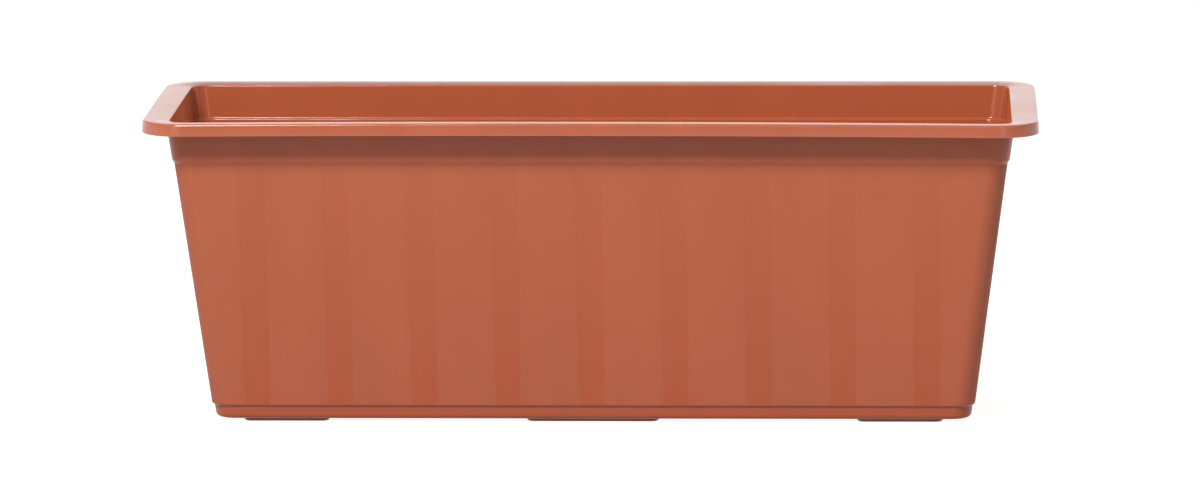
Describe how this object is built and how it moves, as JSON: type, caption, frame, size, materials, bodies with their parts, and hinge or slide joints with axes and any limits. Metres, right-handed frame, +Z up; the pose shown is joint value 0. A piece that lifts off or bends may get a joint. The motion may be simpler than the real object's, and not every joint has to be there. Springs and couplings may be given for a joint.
{
  "type": "window box planter",
  "caption": "Long tapered window box planter with a flat turned-down rim, upright smooth bands, low feet and push-in drain plugs.",
  "frame": {"origin": "centre of the plane that the feet stand on, under the middle of the box", "axes": "+X along the box to the right as seen from the front, -Y out of the front wall, +Z up"},
  "size_m": [0.5, 0.18, 0.175],
  "materials": {
    "terracotta_moulding": "terracotta-coloured polypropylene, spark-eroded matte outside with smoother upright bands, glossy inside and on the rim",
    "terracotta_plug": "terracotta-coloured polypropylene, plain moulded"
  },
  "bodies": {
    "box": {"trough": "terracotta_moulding"},
    "drain_plug_front_left": {"drain_plug_front_left": "terracotta_plug"},
    "drain_plug_front_middle": {"drain_plug_front_middle": "terracotta_plug"},
    "drain_plug_front_right": {"drain_plug_front_right": "terracotta_plug"},
    "drain_plug_rear_left": {"drain_plug_rear_left": "terracotta_plug"},
    "drain_plug_rear_middle": {"drain_plug_rear_middle": "terracotta_plug"},
    "drain_plug_rear_right": {"drain_plug_rear_right": "terracotta_plug"}
  },
  "joints": [
    {"name": "lift_front_left", "type": "slide", "parent": "box", "child": "drain_plug_front_left", "axis": [0, 0, 1], "range_m": [0, 0.2]},
    {"name": "lift_front_middle", "type": "slide", "parent": "box", "child": "drain_plug_front_middle", "axis": [0, 0, 1], "range_m": [0, 0.2]},
    {"name": "lift_front_right", "type": "slide", "parent": "box", "child": "drain_plug_front_right", "axis": [0, 0, 1], "range_m": [0, 0.2]},
    {"name": "lift_rear_left", "type": "slide", "parent": "box", "child": "drain_plug_rear_left", "axis": [0, 0, 1], "range_m": [0, 0.2]},
    {"name": "lift_rear_middle", "type": "slide", "parent": "box", "child": "drain_plug_rear_middle", "axis": [0, 0, 1], "range_m": [0, 0.2]},
    {"name": "lift_rear_right", "type": "slide", "parent": "box", "child": "drain_plug_rear_right", "axis": [0, 0, 1], "range_m": [0, 0.2]}
  ]
}
